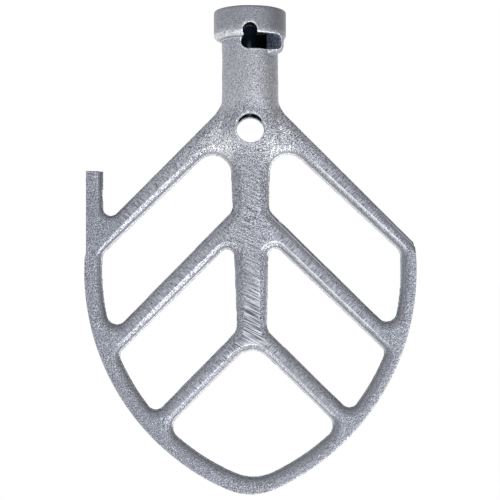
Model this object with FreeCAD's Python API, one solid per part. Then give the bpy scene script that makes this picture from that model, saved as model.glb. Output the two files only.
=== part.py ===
import FreeCAD
import Part
import math
import os

# Flat beater of a planetary mixer, cast in aluminium as one piece.
# Millimetres. The origin is on the shaft axis in the top plane of the collar, +Z points up out of
# the bore, +X to the right and -Y to the front, the side that the drive pin's slot opens on.

# Collar, neck and bore
COLLAR_RADIUS = 23.8
COLLAR_HEIGHT = 19.0
COLLAR_TOP_BREAK = 0.8
COLLAR_FOOT_ROUND = 3.5
NECK_RADIUS = 18.5
BORE_RADIUS = 11.2
BORE_DEPTH = 72.0
BORE_MOUTH_BREAK = 0.4

# Bayonet for the drive pin. Angles run from the front towards +X.
PIN_GAP = 9.5
SLOT_FLOOR = 26.8
SLOT_LEFT_END = -5.9
SEAT_RISE = 6.3
ENTRY_ANGLE = 50.0
ENTRY_REACH = 19.5
EAR_START_ANGLE = 38.0
EAR_END_ANGLE = 68.0
EAR_SKIRT = 2.2
EAR_FOOT_ROUND = 5.0

# Wash-out hole across the foot of the bore
WASH_HOLE_RADIUS = 9.25
WASH_HOLE_DEPTH = 77.6

# Outline of the leaf, seen from the front
LEAF_HEIGHT = 317.0
LEAF_HALF_WIDTH = 109.0
SIDE_RADIUS = 156.5
TIP_RADIUS = 39.3
RIM_WIDTH_LEFT = 11.4
RIM_WIDTH_RIGHT = 10.0
INNER_TIP_RADIUS = 28.5

# Spine: half widths at two depths below the collar's top, with a straight taper between them
SPINE_TOP_DEPTH = 106.7
SPINE_TOP_HALF_WIDTH = 12.9
SPINE_FOOT_DEPTH = 197.8
SPINE_FOOT_HALF_WIDTH = 10.4

# Three pairs of arms. The apex is where a pair's upper edges would meet on the axis, the root is
# the height of the arm there, and the taper turns the lower edge towards the upper one.
ARM_SLOPE = 45.0
UPPER_ARM_APEX = 44.2
UPPER_ARM_ROOT = 22.4
UPPER_ARM_TAPER = 1.7
MIDDLE_ARM_APEX = 118.6
MIDDLE_ARM_ROOT = 20.6
MIDDLE_ARM_TAPER = 0.8
LOWER_ARM_APEX = 199.8
LOWER_ARM_ROOT = 18.2
LOWER_ARM_TAPER = 0.3
# The spine and the edges of the openings lean this much to the right, about the wash-out hole.
FRAME_LEAN = 0.45

# Corner radii of the openings, at the parting plane
UPPER_GAP_TOP_ROUND = 12.0
UPPER_GAP_RIM_ROUND = 8.0
UPPER_GAP_TOE_ROUND = 6.6
UPPER_GAP_SPINE_ROUND = 8.0
MIDDLE_GAP_TOP_ROUND = 4.6
MIDDLE_GAP_RIM_ROUND = 5.6
MIDDLE_GAP_TOE_ROUND = 6.0
MIDDLE_GAP_SPINE_ROUND = 8.0
LOWER_GAP_TOP_ROUND = 14.0
LOWER_GAP_SIDE_ROUND = 8.0

# Section of the bars, as heights above the parting plane: a lip where the mould's halves met, a
# drafted wall and a flank that rises to the face. A run is a slope's width per millimetre of rise.
PLATE_HALF_THICKNESS = 8.4
LIP_HALF_HEIGHT = 0.8
LIP_RUN = 1.9
WALL_HALF_HEIGHT = 6.8
WALL_RUN = 0.1
FLANK_RUN = 1.6
RIM_DRAFT = 0.4

# Ridge along the spine, which falls towards the tip and sinks into the leaf's face before it
RIDGE_HALF_THICKNESS = 10.5
RIDGE_SINK = 0.9
RIDGE_CREST_HALF_WIDTH = 3.65
RIDGE_FALL = 0.05
RIDGE_TOP_DEPTH = 52.0

# Hub, where the round neck flattens into the leaf
HUB_TOP_DEPTH = 48.0
HUB_FOOT_DEPTH = 98.0
HUB_FOOT_HALF_WIDTH = 45.0
HUB_FOOT_HALF_THICKNESS = 9.7
HUB_WIDTH_POWER = 3.0
HUB_FALL_POWER = 1.6
HUB_SECTIONS = 6
SHOULDER_FILLET = 26.0
SHOULDER_INSET = 1.3

# Scraper finger at the upper left, with its outer face milled flat
FINGER_TOP_DEPTH = 105.0
FINGER_OUTER = 107.5
FINGER_WIDTH = 10.6
FINGER_NOTCH_ROUND = 5.0
FINGER_HALF_THICKNESS = 6.6
FLAT_END_DEPTH = 159.0
FLAT_RUN_OUT = 5.0
RELIEF_INNER = 70.0
RELIEF_END_DEPTH = 230.0

# How far cutters pass the faces they cut
OVERSHOOT = 10.0

CENTRE_OFFSET = SIDE_RADIUS - LEAF_HALF_WIDTH
TIP_CENTRE_DEPTH = LEAF_HEIGHT - TIP_RADIUS
SIDE_CENTRE_DEPTH = TIP_CENTRE_DEPTH - math.sqrt(
    (SIDE_RADIUS - TIP_RADIUS) ** 2 - CENTRE_OFFSET ** 2
)
CUT_REACH = COLLAR_RADIUS
BAR_SECTION = [(LIP_HALF_HEIGHT, LIP_RUN), (WALL_HALF_HEIGHT, WALL_RUN), (CUT_REACH, FLANK_RUN)]
PIN_RADIUS = PIN_GAP / 2
FRONT = -90.0
STRAIGHT_DOWN = -90.0
STRAIGHT_UP = 90.0

DOWN = FreeCAD.Vector(0, 0, -1)
X_AXIS = FreeCAD.Vector(1, 0, 0)
Y_AXIS = FreeCAD.Vector(0, 1, 0)
Z_AXIS = FreeCAD.Vector(0, 0, 1)
ORIGIN = FreeCAD.Vector(0, 0, 0)


def at(x, depth, y=0.0):
    """The point at x, at a depth below the collar's top and at y from the parting plane."""
    return FreeCAD.Vector(x, y, -depth)


def direction(angle):
    """Unit vector in the parting plane, at an angle up from +X."""
    turn = math.radians(angle)
    return FreeCAD.Vector(math.cos(turn), 0, math.sin(turn))


def arc_edge(centre, start, end):
    """The shorter arc from start to end about a centre."""
    middle = (start - centre) + (end - centre)
    middle.normalize()
    return Part.Arc(start, centre + middle * (start - centre).Length, end).toShape()


class StraightSide:
    """A straight side of a gap, which lies to the left of its direction."""

    def __init__(self, point, angle):
        self.point = point
        self.along = direction(angle)
        self.outward = direction(angle - 90)

    def curve(self, grow):
        start = self.point + self.outward * grow
        return Part.Line(start, start + self.along)

    def foot(self, point, grow):
        start = self.point + self.outward * grow
        return start + self.along * (point - start).dot(self.along)

    def edge(self, start, end):
        return Part.LineSegment(start, end).toShape()


class RoundSide:
    """A side of a gap that lies inside a circle."""

    def __init__(self, centre, radius):
        self.centre = centre
        self.radius = radius

    def curve(self, grow):
        return Part.Circle(self.centre, Y_AXIS, self.radius + grow)

    def foot(self, point, grow):
        spoke = point - self.centre
        spoke.normalize()
        return self.centre + spoke * (self.radius + grow)

    def edge(self, start, end):
        return arc_edge(self.centre, start, end)


def corner_centre(side, next_side, radius, towards):
    """Centre of the round between two sides. Where they meet twice, the one further towards."""
    meetings = side.curve(-radius).intersectCC(next_side.curve(-radius))
    points = [FreeCAD.Vector(p.X, p.Y, p.Z) for p in meetings]
    return max(points, key=lambda point: point.dot(towards))


class Gap:
    """A space seen from the front: sides in anticlockwise order, each with its next corner's round."""

    def __init__(self, corners):
        self.sides = [side for side, radius, towards in corners]
        self.centres = []
        for i, (side, radius, towards) in enumerate(corners):
            next_side = self.sides[(i + 1) % len(corners)]
            self.centres.append(corner_centre(side, next_side, radius, towards))

    def outline(self, grow, y):
        """The gap's outline grown by a distance, at y from the parting plane."""
        edges = []
        for i, side in enumerate(self.sides):
            next_side = self.sides[(i + 1) % len(self.sides)]
            start = side.foot(self.centres[i - 1], grow)
            end = side.foot(self.centres[i], grow)
            edges.append(side.edge(start, end))
            edges.append(arc_edge(self.centres[i], end, next_side.foot(self.centres[i], grow)))
        wire = Part.Wire(edges)
        wire.translate(Y_AXIS * y)
        return wire

    def cutter(self):
        """The space as a solid that widens from the parting plane to both faces, slope by slope."""
        slopes = [(0.0, 0.0)]
        for height, run in BAR_SECTION:
            grow, foot = slopes[-1]
            slopes.append((grow + run * (height - foot), height))
        outlines = [self.outline(grow, -height) for grow, height in reversed(slopes)]
        outlines += [self.outline(grow, height) for grow, height in slopes[1:]]
        return Part.makeLoft(outlines, True, True)


def mirrored(shape):
    """The shape's mirror image on the other side of the shaft axis."""
    return shape.mirror(ORIGIN, X_AXIS)


def leaning_side(point, angle, lean):
    """A straight side, turned by the frame's lean about the wash-out hole."""
    pivot = at(0, WASH_HOLE_DEPTH)
    turn = FreeCAD.Rotation(-Y_AXIS, lean)
    return StraightSide(pivot + turn.multVec(point - pivot), angle + lean)


def arm_upper_edge(apex, lean=0.0):
    """A right arm's upper edge, going out to the rim."""
    return leaning_side(at(0, apex), -ARM_SLOPE, lean)


def arm_lower_edge(apex, root, taper, lean):
    """A right arm's lower edge, going in to the spine."""
    return leaning_side(at(0, apex + root), 180 - ARM_SLOPE + taper, lean)


def spine_edge(lean):
    """The spine's right edge, going down."""
    run = SPINE_FOOT_DEPTH - SPINE_TOP_DEPTH
    taper = math.degrees(math.atan2(SPINE_TOP_HALF_WIDTH - SPINE_FOOT_HALF_WIDTH, run))
    return leaning_side(at(SPINE_TOP_HALF_WIDTH, SPINE_TOP_DEPTH), STRAIGHT_DOWN - taper, lean)


def rim_edge(centre_x, rim_width):
    return RoundSide(at(centre_x, SIDE_CENTRE_DEPTH), SIDE_RADIUS - rim_width)


def upper_gap(rim_width, lean):
    """Opening between the upper and middle arms, on the right."""
    lower_edge = arm_lower_edge(UPPER_ARM_APEX, UPPER_ARM_ROOT, UPPER_ARM_TAPER, lean)
    return Gap([
        (spine_edge(lean), UPPER_GAP_SPINE_ROUND, X_AXIS),
        (arm_upper_edge(MIDDLE_ARM_APEX, lean), UPPER_GAP_TOE_ROUND, X_AXIS),
        (rim_edge(-CENTRE_OFFSET, rim_width), UPPER_GAP_RIM_ROUND, X_AXIS),
        (lower_edge, UPPER_GAP_TOP_ROUND, X_AXIS),
    ])


def middle_gap(rim_width, lean):
    """Opening between the middle and lower arms, on the right."""
    lower_edge = arm_lower_edge(MIDDLE_ARM_APEX, MIDDLE_ARM_ROOT, MIDDLE_ARM_TAPER, lean)
    return Gap([
        (spine_edge(lean), MIDDLE_GAP_SPINE_ROUND, X_AXIS),
        (arm_upper_edge(LOWER_ARM_APEX, lean), MIDDLE_GAP_TOE_ROUND, X_AXIS),
        (rim_edge(-CENTRE_OFFSET, rim_width), MIDDLE_GAP_RIM_ROUND, X_AXIS),
        (lower_edge, MIDDLE_GAP_TOP_ROUND, X_AXIS),
    ])


def lower_gap():
    """Opening under the lower arms, down to the tip."""
    right_edge = arm_lower_edge(LOWER_ARM_APEX, LOWER_ARM_ROOT, LOWER_ARM_TAPER, FRAME_LEAN)
    left_angle = 180 + ARM_SLOPE - LOWER_ARM_TAPER + FRAME_LEAN
    left_edge = StraightSide(right_edge.point, left_angle)
    return Gap([
        (left_edge, LOWER_GAP_SIDE_ROUND, -X_AXIS),
        (rim_edge(CENTRE_OFFSET, RIM_WIDTH_LEFT), INNER_TIP_RADIUS, DOWN),
        (rim_edge(-CENTRE_OFFSET, RIM_WIDTH_RIGHT), LOWER_GAP_SIDE_ROUND, X_AXIS),
        (right_edge, LOWER_GAP_TOP_ROUND, Z_AXIS),
    ])


def shoulder_gap(outer_x, outer_round):
    """Space above the right upper arm, from the neck out to a wall at outer_x."""
    neck_side = StraightSide(at(NECK_RADIUS - SHOULDER_INSET, 0), STRAIGHT_DOWN)
    outer_side = StraightSide(at(outer_x, 0), STRAIGHT_UP)
    top_side = StraightSide(ORIGIN, 180)
    return Gap([
        (neck_side, SHOULDER_FILLET, X_AXIS),
        (arm_upper_edge(UPPER_ARM_APEX), outer_round, X_AXIS),
        (outer_side, OVERSHOOT, X_AXIS),
        (top_side, OVERSHOOT, X_AXIS),
    ])


def leaf_outline(grow, y):
    """Closed outline of the leaf: two side arcs from a point on the axis, and the tip's arc."""
    right_centre = at(-CENTRE_OFFSET, SIDE_CENTRE_DEPTH)
    left_centre = at(CENTRE_OFFSET, SIDE_CENTRE_DEPTH)
    tip_centre = at(0, TIP_CENTRE_DEPTH)
    radius = SIDE_RADIUS + grow
    top = at(0, SIDE_CENTRE_DEPTH - math.sqrt(radius ** 2 - CENTRE_OFFSET ** 2))
    to_right_tip = tip_centre - right_centre
    to_right_tip.normalize()
    right_tip = right_centre + to_right_tip * radius
    left_tip = FreeCAD.Vector(-right_tip.x, 0, right_tip.z)
    wire = Part.Wire([
        arc_edge(right_centre, top, right_tip),
        arc_edge(tip_centre, right_tip, left_tip),
        arc_edge(left_centre, left_tip, top),
    ])
    wire.translate(Y_AXIS * y)
    return wire


def leaf_plate():
    """The flat leaf, drafted from the parting plane, with its buried top cut off in the neck."""
    outlines = [
        leaf_outline(-RIM_DRAFT, -PLATE_HALF_THICKNESS),
        leaf_outline(0.0, 0.0),
        leaf_outline(-RIM_DRAFT, PLATE_HALF_THICKNESS),
    ]
    plate = Part.makeLoft(outlines, True, True)
    side = 2 * LEAF_HALF_WIDTH
    corner = FreeCAD.Vector(-side / 2, -side / 2, -RIDGE_TOP_DEPTH)
    return plate.cut(Part.makeBox(side, side, RIDGE_TOP_DEPTH + OVERSHOOT, corner))


def ridge_section(depth, half_thickness):
    """Six-sided section of the ridge: a narrow crest each side, falling to the parting plane."""
    crest = RIDGE_CREST_HALF_WIDTH
    reach = crest + half_thickness / RIDGE_FALL
    points = [
        at(reach, depth),
        at(crest, depth, half_thickness),
        at(-crest, depth, half_thickness),
        at(-reach, depth),
        at(-crest, depth, -half_thickness),
        at(crest, depth, -half_thickness),
    ]
    return points + points[:1]


def spine_ridge():
    """Low gable along the leaning spine on both faces, within the leaf's outline."""
    top = ridge_section(RIDGE_TOP_DEPTH, RIDGE_HALF_THICKNESS)
    foot = ridge_section(LEAF_HEIGHT, PLATE_HALF_THICKNESS - RIDGE_SINK)
    faces = [Part.Face(Part.makePolygon(top)), Part.Face(Part.makePolygon(foot))]
    for i in range(len(top) - 1):
        corners = [top[i], top[i + 1], foot[i + 1], foot[i], top[i]]
        faces.append(Part.Face(Part.makePolygon(corners)))
    gable = Part.makeSolid(Part.makeShell(faces))
    gable.rotate(at(0, WASH_HOLE_DEPTH), -Y_AXIS, FRAME_LEAN)
    leaf = Part.Face(leaf_outline(-RIM_DRAFT, -CUT_REACH)).extrude(Y_AXIS * 2 * CUT_REACH)
    return gable.common(leaf)


def hub_section(share):
    """Ellipse of the hub, at a share of the way from the round neck to the flat foot."""
    flatter = (1 - math.cos(math.pi * share ** HUB_FALL_POWER)) / 2
    wider = share ** HUB_WIDTH_POWER
    depth = HUB_TOP_DEPTH + share * (HUB_FOOT_DEPTH - HUB_TOP_DEPTH)
    half_width = NECK_RADIUS + wider * (HUB_FOOT_HALF_WIDTH - NECK_RADIUS)
    half_thickness = NECK_RADIUS + flatter * (HUB_FOOT_HALF_THICKNESS - NECK_RADIUS)
    centre = at(0, depth)
    if share == 0:
        return Part.Wire(Part.Circle(centre, Z_AXIS, NECK_RADIUS).toShape())
    ellipse = Part.Ellipse(
        centre + X_AXIS * half_width,
        centre + Y_AXIS * half_thickness,
        centre,
    )
    return Part.Wire(ellipse.toShape())


def hub():
    """Loft from the neck's circle to the flat section that sinks into the leaf."""
    sections = [hub_section(i / (HUB_SECTIONS - 1)) for i in range(HUB_SECTIONS)]
    return Part.makeLoft(sections, True, False)


def finger_blank():
    """Upright bar of the finger, running down into the leaf."""
    foot_depth = FLAT_END_DEPTH
    corner = at(-FINGER_OUTER, foot_depth, -PLATE_HALF_THICKNESS)
    height = foot_depth - FINGER_TOP_DEPTH
    return Part.makeBox(FINGER_WIDTH, 2 * PLATE_HALF_THICKNESS, height, corner)


def finger_flat():
    """Stock milled off the leaf's upper left edge, with a sloped run-out at its lower end."""
    outer = -LEAF_HALF_WIDTH - OVERSHOOT
    end_x = -LEAF_HALF_WIDTH - RIM_DRAFT
    points = [
        at(-FINGER_OUTER, FINGER_TOP_DEPTH - OVERSHOOT, -CUT_REACH),
        at(-FINGER_OUTER, FLAT_END_DEPTH, -CUT_REACH),
        at(end_x, FLAT_END_DEPTH + FLAT_RUN_OUT, -CUT_REACH),
        at(outer, FLAT_END_DEPTH + FLAT_RUN_OUT, -CUT_REACH),
        at(outer, FINGER_TOP_DEPTH - OVERSHOOT, -CUT_REACH),
    ]
    face = Part.Face(Part.makePolygon(points + points[:1]))
    return face.extrude(Y_AXIS * 2 * CUT_REACH)


def finger_relief():
    """Stock off the front face, which falls towards the finger's tip as one sloping plane."""
    thinned = PLATE_HALF_THICKNESS - FINGER_HALF_THICKNESS
    fall_x = thinned / (FINGER_OUTER - RELIEF_INNER)
    fall_depth = thinned / (RELIEF_END_DEPTH - FINGER_TOP_DEPTH)

    def on_plane(x, depth):
        drop = thinned + fall_x * (-FINGER_OUTER - x) - fall_depth * (depth - FINGER_TOP_DEPTH)
        return at(x, depth, drop - PLATE_HALF_THICKNESS)

    outer = -LEAF_HALF_WIDTH - OVERSHOOT
    top_depth = FINGER_TOP_DEPTH - OVERSHOOT
    inner = -RELIEF_INNER + OVERSHOOT
    points = [
        on_plane(inner, top_depth),
        on_plane(outer, RELIEF_END_DEPTH + 2 * OVERSHOOT),
        on_plane(outer, top_depth),
    ]
    face = Part.Face(Part.makePolygon(points + points[:1]))
    return face.extrude(-Y_AXIS * CUT_REACH)


def blade():
    """The leaf with its openings, shoulders, ridge, hub and finger."""
    front_relief = finger_relief()
    openings = [
        upper_gap(RIM_WIDTH_RIGHT, FRAME_LEAN).cutter(),
        mirrored(upper_gap(RIM_WIDTH_LEFT, -FRAME_LEAN).cutter()),
        middle_gap(RIM_WIDTH_RIGHT, FRAME_LEAN).cutter(),
        mirrored(middle_gap(RIM_WIDTH_LEFT, -FRAME_LEAN).cutter()),
        lower_gap().cutter(),
    ]
    right_wall = LEAF_HALF_WIDTH + 2 * OVERSHOOT
    finger_wall = FINGER_OUTER - FINGER_WIDTH
    shoulders = [
        shoulder_gap(right_wall, OVERSHOOT).cutter(),
        mirrored(shoulder_gap(finger_wall, FINGER_NOTCH_ROUND).cutter()),
    ]
    leaf = leaf_plate().fuse([spine_ridge(), finger_blank()])
    leaf = leaf.cut(shoulders)
    leaf = leaf.cut([finger_flat(), front_relief, front_relief.mirror(ORIGIN, Y_AXIS)])
    return leaf.fuse(hub()).cut(openings)


def socket_blank():
    """Collar and neck, turned about the shaft axis."""
    foot = COLLAR_RADIUS - COLLAR_FOOT_ROUND
    foot_centre = at(foot, COLLAR_HEIGHT - COLLAR_FOOT_ROUND)
    outer_edge = [
        ORIGIN,
        at(COLLAR_RADIUS - COLLAR_TOP_BREAK, 0),
        at(COLLAR_RADIUS, COLLAR_TOP_BREAK),
        at(COLLAR_RADIUS, COLLAR_HEIGHT - COLLAR_FOOT_ROUND),
    ]
    inner_edge = [
        at(foot, COLLAR_HEIGHT),
        at(NECK_RADIUS, COLLAR_HEIGHT),
        at(NECK_RADIUS, HUB_TOP_DEPTH),
        at(0, HUB_TOP_DEPTH),
        ORIGIN,
    ]
    profile = Part.Wire([
        Part.makePolygon(outer_edge),
        arc_edge(foot_centre, outer_edge[-1], inner_edge[0]),
        Part.makePolygon(inner_edge),
    ])
    return Part.Face(profile).revolve(ORIGIN, Z_AXIS, 360)


def turned(profile, start_angle, end_angle):
    """A flat profile turned about the shaft axis, from one angle right of the front to another."""
    face = Part.Face(profile)
    face.rotate(ORIGIN, Z_AXIS, FRONT + start_angle)
    return face.revolve(ORIGIN, Z_AXIS, end_angle - start_angle)


def slot_ear():
    """Skirt of the collar that carries on down round the blind end of the pin's slot."""
    buried = (BORE_RADIUS + NECK_RADIUS) / 2
    top_depth = COLLAR_HEIGHT - COLLAR_FOOT_ROUND
    foot_depth = SLOT_FLOOR + EAR_SKIRT
    round_x = COLLAR_RADIUS - EAR_FOOT_ROUND
    round_depth = foot_depth - EAR_FOOT_ROUND
    side = [at(buried, top_depth), at(COLLAR_RADIUS, top_depth), at(COLLAR_RADIUS, round_depth)]
    foot = [at(round_x, foot_depth), at(buried, foot_depth), at(buried, top_depth)]
    profile = Part.Wire([
        Part.makePolygon(side),
        arc_edge(at(round_x, round_depth), side[-1], foot[0]),
        Part.makePolygon(foot),
    ])
    return turned(profile, EAR_START_ANGLE, EAR_END_ANGLE)


def pin_slot():
    """Slot that the drive pin turns in, with the notch it seats in and its way in from the top."""
    slot_top = SLOT_FLOOR - PIN_GAP
    slot_middle = SLOT_FLOOR - PIN_RADIUS
    left_centre = SLOT_LEFT_END + PIN_RADIUS
    left_angle = math.degrees(math.asin(left_centre / NECK_RADIUS))
    inside = BORE_RADIUS / 2
    outside = COLLAR_RADIUS + OVERSHOOT
    section = Part.makePolygon([
        at(inside, slot_top),
        at(outside, slot_top),
        at(outside, SLOT_FLOOR),
        at(inside, SLOT_FLOOR),
        at(inside, slot_top),
    ])
    turn = turned(section, left_angle, ENTRY_ANGLE)
    left_end = Part.makeCylinder(PIN_RADIUS, outside, at(left_centre, slot_middle), -Y_AXIS)
    right_end = Part.makeCylinder(PIN_RADIUS, outside, at(0, slot_middle), -Y_AXIS)
    right_end.rotate(ORIGIN, Z_AXIS, ENTRY_ANGLE)
    seat = Part.makeCylinder(PIN_RADIUS, outside, at(0, slot_middle - SEAT_RISE), -Y_AXIS)
    entry = Part.makeBox(ENTRY_REACH, PIN_GAP, slot_middle, at(0, slot_middle, -PIN_RADIUS))
    entry.rotate(ORIGIN, Z_AXIS, FRONT + ENTRY_ANGLE)
    return turn.fuse([left_end, right_end, seat, entry])


def bore():
    """Blind bore for the shaft, with its mouth broken."""
    wall = Part.makeCylinder(BORE_RADIUS, BORE_DEPTH, at(0, BORE_DEPTH))
    mouth = Part.makeCone(
        BORE_RADIUS, BORE_RADIUS + BORE_MOUTH_BREAK, BORE_MOUTH_BREAK, at(0, BORE_MOUTH_BREAK)
    )
    return wall.fuse(mouth)


def wash_hole():
    """Hole from front to back across the foot of the bore."""
    return Part.makeCylinder(
        WASH_HOLE_RADIUS, 2 * CUT_REACH, at(0, WASH_HOLE_DEPTH, -CUT_REACH), Y_AXIS
    )


def flat_beater():
    """The whole casting."""
    casting = blade().fuse([socket_blank(), slot_ear()])
    casting = casting.cut([bore(), wash_hole(), pin_slot()])
    return casting.removeSplitter()


os.makedirs("parts", exist_ok=True)
flat_beater().exportStep("parts/flat_beater.step")
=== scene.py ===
import math
from functools import cached_property

import bpy
import numpy as np
from bpy.props import FloatProperty, FloatVectorProperty, IntProperty, PointerProperty
from mathutils import Euler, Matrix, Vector, noise


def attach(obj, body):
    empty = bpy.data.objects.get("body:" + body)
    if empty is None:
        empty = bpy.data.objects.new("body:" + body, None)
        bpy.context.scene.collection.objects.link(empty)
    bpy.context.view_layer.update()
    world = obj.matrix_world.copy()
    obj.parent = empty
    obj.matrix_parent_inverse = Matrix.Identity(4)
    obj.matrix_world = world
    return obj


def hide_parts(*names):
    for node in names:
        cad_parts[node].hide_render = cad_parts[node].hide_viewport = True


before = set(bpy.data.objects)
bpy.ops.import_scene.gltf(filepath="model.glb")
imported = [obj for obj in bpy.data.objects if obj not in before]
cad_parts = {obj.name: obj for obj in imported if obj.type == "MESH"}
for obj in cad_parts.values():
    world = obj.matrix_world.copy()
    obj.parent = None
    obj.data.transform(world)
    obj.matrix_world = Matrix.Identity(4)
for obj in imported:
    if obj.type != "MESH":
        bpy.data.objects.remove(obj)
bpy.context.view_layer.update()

bl_info = {
    "name": "Flat beater",
    "version": (1, 0, 0),
    "blender": (4, 5, 0),
    "location": "View3D > Sidebar > Beater",
    "description": "Dresses a cast aluminium mixer beater and lights it on a white stage",
    "category": "Object",
}

NODE = "flat_beater"
MM = 0.001

# Sizes of the casting that its finish follows, in millimetres. Depths run down from the collar's top,
# and the ear's angles run round the neck from the front to the right, in degrees.
BORE_RADIUS = 11.2
BORE_DEPTH = 72.0
COLLAR_RADIUS = 23.8
COLLAR_TURNED_DEPTH = 15.5
COLLAR_FOOT_DEPTH = 19.0
NECK_RADIUS = 18.5
SLOT_TOP_DEPTH = 10.0
SLOT_FLOOR_DEPTH = 27.5
EAR_X = 10.0
EAR_FOOT_DEPTHS = (SLOT_FLOOR_DEPTH - 1.2, 31.0)
EAR_ANGLES = (30.0, 50.0)
EAR_RUN_OUT_ANGLES = (39.0, 49.0)
PIN_SEAT_DEPTH = 13.5
PIN_SEAT_HALF_WIDTH = 4.6
PIN_SEAT_INNER_RADIUS = 10.8
WASH_HOLE_RADIUS = 9.25
WASH_HOLE_DEPTH = 77.6
LEAF_TOP_DEPTH = 62.0
SIDE_RADIUS = 156.5
SIDE_CENTRE_X = 47.5
SIDE_CENTRE_DEPTH = 170.6
LIP_HALF_HEIGHT = 0.8
SPINE_TOP_DEPTH = 88.0
SPINE_HALF_WIDTH = 9.5
ARM_ANGLE = 45.0
HUB_SHOULDER = (19.0, 88.0)
FINGER_DENT = (-96.5, 0.0, -121.0)
FINGER_DENT_REACH = (2.0, 9.0, 4.5)

# Sizes of the finish's patterns, in millimetres, a stroke's along its own X, Y and Z. Grain and strokes
# are coarser and higher than real ones, so that they show. The strokes' slant is in degrees.
GRAIN_CLUSTER = 0.66
GRAIN_HEIGHT = 0.75
BURR_TOOTH = 1.7
BURR_MARGIN = 1.5
DENT_BRUISE = 1.9
ARM_STROKE = (0.55, 3.0, 4.0)
SPINE_STROKE = (14.0, 3.0, 0.75)
SPINE_STROKE_SLANT = 28.0
SPINE_STROKE_FADE = 25.0

# Share of their own colour that the turned side, with its painted shade, and the painted shade on the
# walls take on.
DARKENING = 0.75

# Some of these finishes are painted light: painted shade on the walls, the rim's outer edge, the leaf's
# sole, the collar's right side and in the bore, and painted highlights on the crests, flanks and edges
# that face down, the hub's shoulders, the collar's foot and the back of the bore.
# Depths over which a finish comes in, from none to full. Where there are four, it then goes again
# over the last two.
BRIM_DEPTHS = (1.6, 0.8)
STREAK_DEPTHS = (16.0, 23.0)
DULL_DEPTHS = (55.0, 125.0)
LEAF_DEPTHS = (LEAF_TOP_DEPTH, LEAF_TOP_DEPTH + 6)
WALL_DEPTHS = (LEAF_TOP_DEPTH, LEAF_TOP_DEPTH + 38)
NECK_CALM_DEPTHS = (75.0, 60.0)
SCUFF_DEPTHS = (WASH_HOLE_DEPTH + 5, WASH_HOLE_DEPTH + 8)
RIM_EDGE_DEPTHS = (90.0, 100.0)
FILED_DEPTHS = (92.0, 104.0)
CREST_DEPTHS = (95.0, 103.0)
ARM_CALM_DEPTHS = (95.0, 115.0)
SEAM_DEPTHS = (130.0, 137.0, 160.0, 185.0)
LOW_ARM_START_DEPTHS = (185.0, 195.0)
SPINE_SCRATCH_DEPTHS = (200.0, 160.0)
LOW_CREST_DEPTHS = (200.0, 225.0)
# The flanks' painted highlight fades out over the lowest arms.
LOW_FLANK_FADE_DEPTHS = (200.0, 230.0)
LOW_ARM_DEPTHS = (205.0, 225.0)
SOLE_DEPTHS = (225.0, 250.0)

# Distances to the right of the axis, or to either side of it, over which a finish comes in.
SEAM_X = 5.0
BORE_STREAK_X = -0.4
# The collar's painted shade grows to the right over this span.
COLLAR_SHADE_X = (0.0, 18.0)
GLINT_X = (5.0, 12.0)
LOW_RIGHT_X = (8.0, 22.0)
BLIND_END_X = (9.0, 11.0)
# The flanks' painted highlight is halved over this span to the right.
RIGHT_FLANK_FADE_X = (25.0, 40.0)
STREAK_SIDES = (1.6, 0.6)
SPINE_WALL_SIDES = (17.0, 13.0)
SPINE_SCRATCH_SIDES = (22.0, 12.0)
ARM_CALM_SIDES = (12.0, 22.0)
SPINE_STROKE_SIDES = (SPINE_HALF_WIDTH - 2, SPINE_HALF_WIDTH + 3)

# Distances inwards from the rim's outer edge over which a finish comes in.
RIM_SKIN_INSETS = (1.2, 2.0)
RIM_EDGE_INSETS = (3.0, 1.0)
SOLE_INSETS = (16.0, 4.0)
DULL_INSETS = (40.0, 9.0)
FILED_INSETS = (14.0, 24.0)
GLINT_INSETS = (14.0, 20.0)

# Distances from the parting plane over which a finish comes in.
LIP_HEIGHTS = (LIP_HALF_HEIGHT + 0.7, LIP_HALF_HEIGHT)
SEAM_HEIGHTS = (4.4, 5.0, 6.6, 7.0)

# Distances from the shaft's axis over which a finish comes in.
BORE_RADII = (BORE_RADIUS + 1.0, BORE_RADIUS + 0.4)
PIN_SEAT_RADII = (13.0, 12.0)
FOOT_RADII = (NECK_RADIUS + 0.5, NECK_RADIUS + 1.5)
SMOOTHER_RADII = (NECK_RADIUS + 2, NECK_RADIUS + 4)
TURNED_RADII = (NECK_RADIUS + 3, NECK_RADIUS + 4)
BRIM_RADII = (COLLAR_RADIUS - 2.0, COLLAR_RADIUS - 1.2)

# Distances from the wash hole's edge and from the hub's shoulders over which a finish comes in.
HOLE_EDGE = (0.9, 0.3)
HOLE_SCUFF = (3.2, 1.8)
HOLE_DULL = (10.0, 3.0)
SHOULDER_SPECKLES = (14.0, 4.0)

# How a surface faces where a finish comes in. Its level is 1 on a face and 0 on a straight wall, and
# its tilt is 1 straight up. On the neck, outward is away from the axis and onward is round to the right.
FACE_LEVELS = (0.9, 0.96)
CREST_LEVELS = (0.86, 0.9, 0.955, 0.975)
FLANK_LEVELS = (0.6, 0.75, 0.88, 0.93)
RIM_EDGE_LEVELS = (0.94, 0.75)
WALL_LEVELS = (0.45, 0.2)
TILTS = (0.1, 0.35)
CREST_TILTS = (0.08, 0.18)
UNDERSIDE_TILTS = (-0.1, 0.25)
COLLAR_SIDE_TILTS = (0.8, 0.5)
EDGE_TILTS = (0.4, 0.1)
SLOT_OUTWARD = (0.6, 0.3)
BURR_OUTWARD = (0.5, 0.8)
EAR_BACK_ONWARD = (0.2, 0.5)

# How far an edge stands out from the cells beside it, in millimetres.
WORN_STANDS = (0.025, 0.07)
BURR_STANDS = (0.03, 0.09)

# Values between which a pattern or a fade runs from none to full.
BURR_RAGGED = (-0.3, 0.5)
BURR_HALO = (0.03, 0.12)
DENT_FADE = (1.0, 0.3)

# Width of the bright burr, in cells of the surface.
BURR_CELLS = 2

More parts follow.
